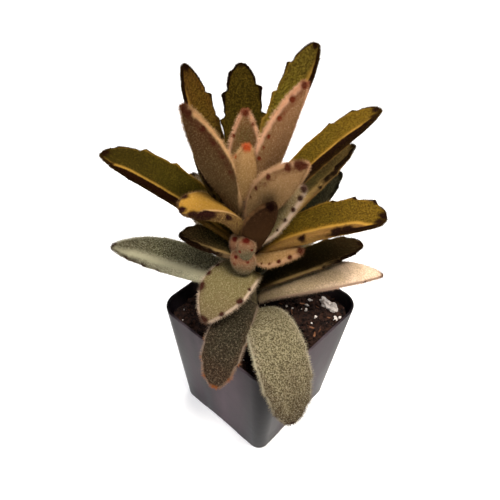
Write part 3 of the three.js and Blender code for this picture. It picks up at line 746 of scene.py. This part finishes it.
def grain(tree, spacing, detail=2.0, roughness=0.5):
    """Noise from 0 to 1 in the piece's own space, with its grains about a spacing in millimetres apart."""
    where = node(tree, "ShaderNodeTexCoord").outputs["Object"]
    inputs = {"Vector": where, "Scale": 1 / (spacing * MM), "Detail": detail, "Roughness": roughness}
    return node(tree, "ShaderNodeTexNoise", inputs).outputs["Fac"]


def bump(tree, shader, height, distance, strength=1.0):
    inputs = {"Height": height, "Distance": distance * MM, "Strength": strength}
    tree.links.new(node(tree, "ShaderNodeBump", inputs).outputs[0], shader.inputs["Normal"])


def skin_colour(tree, look):
    """Two sides that change from foot to tip; the upper one is another colour away from the line."""
    wander = maths(tree, "MULTIPLY", grain(tree, 6), 0.5)
    lengthwise = span(tree, maths(tree, "ADD", field(tree, "along"), wander), 0.5, 1.2)
    upper = blend(tree, lengthwise, look.upper_foot, look.upper_tip)
    drift = maths(tree, "MULTIPLY", grain(tree, 4, 3.0), 5)
    inwards = span(tree, maths(tree, "ADD", field(tree, "ridge"), drift), 2.8, 6.2)
    faded = maths(tree, "MULTIPLY", inwards, span(tree, lengthwise, 1.3, 0.3))
    upper = blend(tree, maths(tree, "MULTIPLY", faded, 0.85), upper, look.patch)
    under = blend(tree, lengthwise, look.under_foot, look.under_tip)
    colour = blend(tree, upper_share(tree, look), under, upper)
    flecks = span(tree, grain(tree, 0.5, 3.0, 0.7), 0.52, 0.62)
    colour = blend(tree, maths(tree, "MULTIPLY", flecks, 0.4), colour, look.hair)
    # The leaf's tone scales the colour; for some leaves it holds painted light and painted shade.
    scaled = node(tree, "ShaderNodeVectorMath", {0: colour, 3: field(tree, "tone")}, operation="SCALE")
    return scaled.outputs[0]


def upper_share(tree, look):
    """1 on the upper side of the pale line and 0 on the flank and under side."""
    return span(tree, field(tree, "ridge"), look.rim_width * -0.5, look.rim_width * 0.5)


def skin_material(name, look):
    """Felted skin with a pale line, dark marks and fine specks."""
    material, tree, shader = new_material(name, 0.85, 0)
    colour = skin_colour(tree, look)
    colour = blend(tree, speckled(tree, look), colour, look.speck)
    colour = blend(tree, pale_line(tree, look), colour, look.rim)
    colour = blend(tree, stained(tree), colour, look.mark)
    tree.links.new(colour, shader.inputs["Base Color"])
    shader.inputs["Sheen Weight"].default_value = 0.05
    shader.inputs["Sheen Roughness"].default_value = 0.5
    shader.inputs["Sheen Tint"].default_value = (*look.hair, 1)
    bump(tree, shader, grain(tree, 0.45, 3.0, 0.7), 0.2)
    return material


def speckled(tree, look):
    """Share of the fine dark specks, fewer on the under side."""
    speck = span(tree, grain(tree, 0.55, 3.0, 0.7), 0.54, 0.46)
    side = maths(tree, "ADD", maths(tree, "MULTIPLY", upper_share(tree, look), 0.6), 0.4)
    return maths(tree, "MULTIPLY", maths(tree, "MULTIPLY", speck, look.speckling), side)


def pale_line(tree, look):
    """Share of the pale line, which frays a little and fades out softly at both edges."""
    fray = maths(tree, "MULTIPLY", maths(tree, "SUBTRACT", grain(tree, 1.2, 3.0), 0.5), look.rim_width)
    place = maths(tree, "ADD", field(tree, "ridge"), fray)
    above = span(tree, place, look.rim_width * 2, look.rim_width * -0.2)
    below = span(tree, place, look.rim_width * -1.6, look.rim_width * -0.3)
    grown = span(tree, field(tree, "along"), 0.06, 0.25)
    return maths(tree, "MULTIPLY", maths(tree, "MULTIPLY", above, below), maths(tree, "MULTIPLY", grown, 0.85))


def stained(tree):
    """Share of the dark marks and bands, with soft uneven edges."""
    ragged = maths(tree, "MULTIPLY", maths(tree, "SUBTRACT", grain(tree, 1.8, 3.0, 0.6), 0.5), 0.6)
    return span(tree, maths(tree, "ADD", field(tree, "dark"), ragged), 0.2, 0.7)


def hair_material(name, look):
    """Single hairs: paler than the skin, palest on the line, stained on the marks, in uneven tufts."""
    material, tree, shader = new_material(name, 0.8, 0)
    skin = skin_colour(tree, look)
    tufts = span(tree, grain(tree, 0.8, 2.0), 0.40, 0.60)
    colour = blend(tree, maths(tree, "MULTIPLY", tufts, 0.8), skin, look.hair)
    colour = blend(tree, pale_line(tree, look), colour, look.rim)
    warm = tuple(mark * 1.4 + hair * 0.04 for mark, hair in zip(look.mark, look.hair))
    colour = blend(tree, maths(tree, "MULTIPLY", stained(tree), 0.9), colour, warm)
    tree.links.new(colour, shader.inputs["Base Color"])
    return material


def make_leaves():
    draw = random.Random(SEED)
    skins = {key: skin_material("skin_" + key, look) for key, look in LOOKS.items()}
    hairs = {key: hair_material("hair_" + key, look) for key, look in LOOKS.items()}
    slots = {entry["node"]: entry["material_slot"] for entry in frame["record"]["subparts"]}
    for name, leaf in LEAVES.items():
        look = LOOKS[leaf.look]
        bm = leaf_skin(leaf, look)
        grow_hair(bm, look, draw)
        piece_name = name.replace("leaf_", "felted_leaf_")
        to_object(piece_name, bm, [skins[leaf.look], hairs[leaf.look]], slots[name], name)


# The pot: the frame's shell with its sharp edges rounded, dull with dust and a painted sheen on its flat sides
POT_EDGE_ROUNDING = 0.25
POT_FLAT_ANGLE = 0.5
POT_SHARP_ANGLE = 40
POT_FOOT_HALF = 22.5
POT_FLARE = 6 / 57.5
BARE_CORNER = (0.9, 0.25)


def dust_and_painted_sheen(tree, where):
    """Share of the lavender-grey film, partly dust and partly painted sheen: on the flat sides in soft upright
    streaks, left off the rounded corners.
    """
    split = node(tree, "ShaderNodeSeparateXYZ", {"Vector": where}).outputs
    half = maths(tree, "ADD", maths(tree, "MULTIPLY", split[2], POT_FLARE), POT_FOOT_HALF * MM)
    across = maths(tree, "MINIMUM", maths(tree, "ABSOLUTE", split[0], 0), maths(tree, "ABSOLUTE", split[1], 0))
    flat = span(tree, maths(tree, "DIVIDE", across, half), *BARE_CORNER)
    upright = node(tree, "ShaderNodeMapping", {"Vector": where, "Scale": (1, 1, 0.05)}).outputs[0]
    inputs = {"Vector": upright, "Scale": 90, "Detail": 3.0}
    bands = node(tree, "ShaderNodeTexNoise", inputs).outputs["Fac"]
    cloud = grain(tree, 12, 4.0, 0.6)
    film = maths(tree, "ADD", maths(tree, "MULTIPLY", bands, 0.9), maths(tree, "MULTIPLY", cloud, 0.3))
    return maths(tree, "MULTIPLY", flat, span(tree, film, 0.25, 0.85))


def pot_material():
    """Thin black plastic with a lavender-grey film that is partly dust and partly painted sheen."""
    material, tree, shader = new_material("pot_plastic", 0.3, 0.05)
    where = node(tree, "ShaderNodeTexCoord").outputs["Object"]
    # The film is partly dust and partly painted sheen, in upright streaks.
    dust_and_sheen_share = dust_and_painted_sheen(tree, where)
    colour = blend(tree, dust_and_sheen_share, (0.003, 0.002, 0.003), (0.092, 0.070, 0.080))
    tree.links.new(colour, shader.inputs["Base Color"])
    rough = node(tree, "ShaderNodeMapRange", {"Value": dust_and_sheen_share, "To Min": 0.3, "To Max": 0.7})
    tree.links.new(rough.outputs[0], shader.inputs["Roughness"])
    bump(tree, shader, grain(tree, 3, 2.0), 0.1, 0.4)
    return material


def make_pot():
    bm = bmesh.new()
    bm.from_mesh(frame["nodes"]["pot"].data)
    bmesh.ops.scale(bm, vec=(1 / MM, 1 / MM, 1 / MM), verts=bm.verts)
    bmesh.ops.remove_doubles(bm, verts=bm.verts, dist=0.01)
    angle = math.radians(POT_FLAT_ANGLE)
    bmesh.ops.dissolve_limit(bm, angle_limit=angle, verts=bm.verts, edges=bm.edges)
    sharp = math.radians(POT_SHARP_ANGLE)
    edges = [edge for edge in bm.edges if len(edge.link_faces) == 2 and edge.calc_face_angle() > sharp]
    bmesh.ops.bevel(
        bm, geom=edges, offset=POT_EDGE_ROUNDING, segments=3, profile=0.5, affect="EDGES", material=-1,
        clamp_overlap=True,
    )
    bmesh.ops.dissolve_degenerate(bm, dist=0.01, edges=bm.edges)
    for face in bm.faces:
        face.smooth = True
    piece = to_object("pot_shell", bm, [pot_material()], "pot", "pot")
    piece.data.set_sharp_from_angle(angle=sharp)


# The soil: an uneven bed filling the pot, with loose crumbs and bits lying on it
POT_WALL_AT_SOIL = 26.5
SOIL_CORNER = 6
SOIL_GRID = 90
SOIL_DEPTH = 6
SOIL_SWELL = 1.1
CRUMBS = 1500
PERLITE_GRAINS = 60
BARK_BITS = 36


def soil_reach():
    """Half the side of the soil at its top, from the frame."""
    low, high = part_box("soil")
    return (high.x - low.x) / MM / 2 - 0.6


def rounded_square(x, y, reach, corner):
    """Draws a point of a square in, so that the square's corners become round."""
    over_x = abs(x) - (reach - corner)
    over_y = abs(y) - (reach - corner)
    if over_x <= 0 or over_y <= 0:
        return x, y
    longest = max(over_x, over_y)
    shrink = longest / math.hypot(over_x, over_y)
    return (
        math.copysign(reach - corner + over_x * shrink, x),
        math.copysign(reach - corner + over_y * shrink, y),
    )


def soil_height(x, y):
    point = Vector((x, y, 0))
    swell = SOIL_SWELL * noise.noise(point / 11) + 0.45 * noise.noise(point / 2.6)
    return SOIL_TOP + swell + 0.2 * noise.noise(point / 0.9)


def soil_material():
    material, tree, shader = new_material("soil_peat", 0.9, 0.15)
    colour = blend(tree, span(tree, grain(tree, 1.6, 5.0, 0.7), 0.35, 0.65), (0.002, 0.001, 0.001),
                   (0.030, 0.013, 0.008))
    colour = blend(tree, span(tree, grain(tree, 0.7, 3.0), 0.66, 0.72), colour, (0.13, 0.075, 0.06))
    tree.links.new(colour, shader.inputs["Base Color"])
    bump(tree, shader, grain(tree, 0.7, 4.0, 0.7), 0.4)
    return material


def plain_grain_material(name, dull, bright, spacing, roughness):
    material, tree, shader = new_material(name, roughness, 0.3)
    colour = blend(tree, span(tree, grain(tree, spacing, 4.0, 0.6), 0.3, 0.7), dull, bright)
    tree.links.new(colour, shader.inputs["Base Color"])
    bump(tree, shader, grain(tree, spacing / 3, 3.0), 0.12)
    return material


def make_soil_bed():
    reach = soil_reach()
    bm = bmesh.new()
    bmesh.ops.create_grid(bm, x_segments=SOIL_GRID, y_segments=SOIL_GRID, size=reach)
    for vertex in bm.verts:
        x, y = rounded_square(vertex.co.x, vertex.co.y, reach, SOIL_CORNER)
        vertex.co = Vector((x, y, soil_height(x, y)))
    rim = [edge for edge in bm.edges if edge.is_boundary]
    walls = bmesh.ops.extrude_edge_only(bm, edges=rim)["geom"]
    foot = [item for item in walls if isinstance(item, bmesh.types.BMVert)]
    for vertex in foot:
        vertex.co.z = SOIL_TOP - SOIL_DEPTH
    bmesh.ops.contextual_create(bm, geom=[edge for edge in bm.edges if edge.is_boundary])
    bmesh.ops.recalc_face_normals(bm, faces=bm.faces)
    for face in bm.faces:
        face.smooth = face.normal.z > 0.2
    to_object("soil_bed", bm, [soil_material()], "soil", "soil")


def scatter(draw, reach):
    """A random place on the soil, as x and y."""
    while True:
        x, y = draw.uniform(-reach, reach), draw.uniform(-reach, reach)
        over = max(abs(x) - (reach - SOIL_CORNER), 0), max(abs(y) - (reach - SOIL_CORNER), 0)
        if math.hypot(*over) < SOIL_CORNER:
            return x, y


def lump(bm, draw, place, size, stretch, subdivisions):
    """A rough lump: a small ball, squeezed, turned and knocked out of round."""
    made = bmesh.ops.create_icosphere(bm, subdivisions=subdivisions, radius=size / 2)["verts"]
    turn = Matrix.Rotation(draw.uniform(0, math.tau), 3, "Z") @ Matrix.Rotation(draw.uniform(0, 1), 3, "X")
    shift = Vector((draw.uniform(0, 99), draw.uniform(0, 99), 0))
    for vertex in made:
        rough = 1 + 0.6 * noise.noise(vertex.co / (size * 0.5) + shift)
        rough += 0.25 * noise.noise(vertex.co / (size * 0.2) + shift)
        squeezed = Vector([value * factor for value, factor in zip(vertex.co * rough, stretch)])
        vertex.co = turn @ squeezed + place


def on_soil(x, y, size):
    return Vector((x, y, soil_height(x, y) + size * 0.2))


def make_crumbs(draw):
    bm = bmesh.new()
    reach = soil_reach() - 0.8
    for _ in range(CRUMBS):
        x, y = scatter(draw, reach)
        size = draw.uniform(0.5, 1.5) if draw.random() < 0.85 else draw.uniform(1.5, 2.8)
        stretch = (1, draw.uniform(0.5, 1), draw.uniform(0.5, 0.9))
        lump(bm, draw, on_soil(x, y, size), size, stretch, 1)
    to_object("soil_crumbs", bm, [soil_material()], "soil")


def make_perlite(draw):
    bm = bmesh.new()
    reach = soil_reach() - 1.5
    for _ in range(PERLITE_GRAINS):
        x, y = scatter(draw, reach)
        size = draw.uniform(0.5, 1.5)
        lump(bm, draw, on_soil(x, y, size * 1.5), size, (1, 0.85, 0.8), 2)
    for x, y, size in BIG_PERLITE:
        lump(bm, draw, on_soil(x, y, size * 0.4), size, (1, 0.75, 0.6), 4)
    material = plain_grain_material("perlite", (0.42, 0.38, 0.35), (0.80, 0.75, 0.70), 1.0, 0.8)
    to_object("perlite_grains", bm, [material], "soil")


# Larger white grains beside the back corner, on the right side and by the left corner: x, y, size
BIG_PERLITE = (
    (16, 22, 5), (19.5, 21.8, 4.6), (23.5, 18.5, 2.4), (10.7, 16.5, 1.8), (12.1, 14.1, 1.5),
    (9.8, 19.5, 1.4), (18.3, 7.1, 1.5), (17.3, 14, 1.4), (-23, -19.5, 1.6), (-19, -15, 1.0),
)


def make_bark(draw):
    bm = bmesh.new()
    reach = soil_reach() - 3
    for _ in range(BARK_BITS):
        x, y = scatter(draw, reach)
        length = draw.uniform(1.5, 4)
        lump(bm, draw, on_soil(x, y, 1), length, (1, 0.28, 0.2), 2)
    material = plain_grain_material("bark_bits", (0.07, 0.025, 0.012), (0.26, 0.11, 0.05), 1.2, 0.8)
    to_object("bark_bits", bm, [material], "soil")


def make_stem():
    """Short brownish stem with the rings of shed leaves."""
    bm = bmesh.new()
    length = STEM_TIP_HEIGHT - STEM_FOOT_HEIGHT
    bmesh.ops.create_cone(
        bm, cap_ends=True, segments=24, radius1=STEM_FOOT_RADIUS, radius2=STEM_TIP_RADIUS, depth=length
    )
    uprights = [edge for edge in bm.edges if abs(edge.verts[0].co.z - edge.verts[1].co.z) > 1]
    bmesh.ops.subdivide_edges(bm, edges=uprights, cuts=60, use_grid_fill=True)
    for vertex in bm.verts:
        height = STEM_FOOT_HEIGHT + length / 2 + vertex.co.z
        ring = 0.18 * abs(math.sin(height * 1.1)) ** 6 + 0.12 * noise.noise(vertex.co / 2)
        centre = stem_centre(height)
        outward = Vector((vertex.co.x, vertex.co.y, 0))
        vertex.co = centre + outward * (1 + ring / STEM_FOOT_RADIUS)
    for face in bm.faces:
        face.smooth = True
    material = plain_grain_material("stem_skin", (0.10, 0.075, 0.035), (0.26, 0.21, 0.11), 2.0, 0.8)
    to_object("scarred_stem", bm, [material], "stem", "stem")


def make_soil():
    draw = random.Random(SEED + 1)
    make_soil_bed()
    make_crumbs(draw)
    make_perlite(draw)
    make_bark(draw)


# Studio: a pale floor, soft boxes and a pale surround
FLOOR_SIZE = 3000
FLOOR_COLOUR = (0.92, 0.92, 0.92, 1)
FLOOR_GLOW = 0.25
SURROUND = (0.92, 0.93, 0.96, 1)
SURROUND_STRENGTH = 0.2


def look_along(direction, roll=0):
    """Rotation of a camera or lamp that looks along a direction, turned by a roll in degrees."""
    facing = direction.to_track_quat("-Z", "Y").to_matrix()
    return (facing @ Matrix.Rotation(math.radians(roll), 3, "Z")).to_4x4()


def view_direction(azimuth, elevation):
    """From the object towards a viewer."""
    turn, rise = math.radians(azimuth), math.radians(elevation)
    flat = math.cos(rise)
    return Vector((math.sin(turn) * flat, -math.cos(turn) * flat, math.sin(rise)))


def make_camera():
    data = bpy.data.cameras.new("camera")
    data.lens = CAMERA_LENS
    camera = bpy.data.objects.new("camera", data)
    bpy.context.scene.collection.objects.link(camera)
    back = view_direction(CAMERA_AZIMUTH, CAMERA_ELEVATION)
    turn = math.radians(CAMERA_AZIMUTH)
    target = Vector((math.cos(turn), math.sin(turn), 0)) * CAMERA_SIDESTEP
    target.z = CAMERA_TARGET_HEIGHT
    place = Matrix.Translation((target + back * CAMERA_DISTANCE) * MM)
    camera.matrix_world = place @ look_along(-back, CAMERA_ROLL)
    data.clip_start = 0.01
    bpy.context.scene.camera = camera


def make_soft_box(name, azimuth, elevation, distance, size, power, colour):
    data = bpy.data.lights.new(name, "AREA")
    data.shape = "RECTANGLE"
    data.size = size[0] * MM
    data.size_y = size[1] * MM
    data.energy = power
    data.color = colour
    lamp = bpy.data.objects.new(name, data)
    bpy.context.scene.collection.objects.link(lamp)
    back = view_direction(azimuth, elevation)
    centre = Vector((0, 0, CAMERA_TARGET_HEIGHT))
    lamp.matrix_world = Matrix.Translation((centre + back * distance) * MM) @ look_along(-back)


def make_studio():
    bm = bmesh.new()
    bmesh.ops.create_grid(bm, x_segments=1, y_segments=1, size=FLOOR_SIZE / 2 * MM)
    mesh = bpy.data.meshes.new("floor")
    bm.to_mesh(mesh)
    bm.free()
    material, _, shader = new_material("floor_paper", 0.9, 0.1)
    shader.inputs["Base Color"].default_value = FLOOR_COLOUR
    shader.inputs["Emission Color"].default_value = FLOOR_COLOUR
    shader.inputs["Emission Strength"].default_value = FLOOR_GLOW
    mesh.materials.append(material)
    floor = bpy.data.objects.new("floor", mesh)
    bpy.context.scene.collection.objects.link(floor)
    world = bpy.data.worlds.new("surround")
    world.use_nodes = True
    background = world.node_tree.nodes["Background"]
    background.inputs["Color"].default_value = SURROUND
    background.inputs["Strength"].default_value = SURROUND_STRENGTH
    bpy.context.scene.world = world
    bpy.context.scene.view_settings.view_transform = "Standard"
    make_soft_box("key", 82, 68, 900, (320, 320), 13, (1.0, 0.95, 0.88))
    make_soft_box("fill", -35, 50, 900, (600, 500), 5, (0.95, 0.95, 1.0))
    make_soft_box("top", 205, 65, 900, (400, 400), 6, (1.0, 0.97, 0.93))


make_camera()
make_studio()
make_pot()
make_soil()
make_stem()
make_leaves()
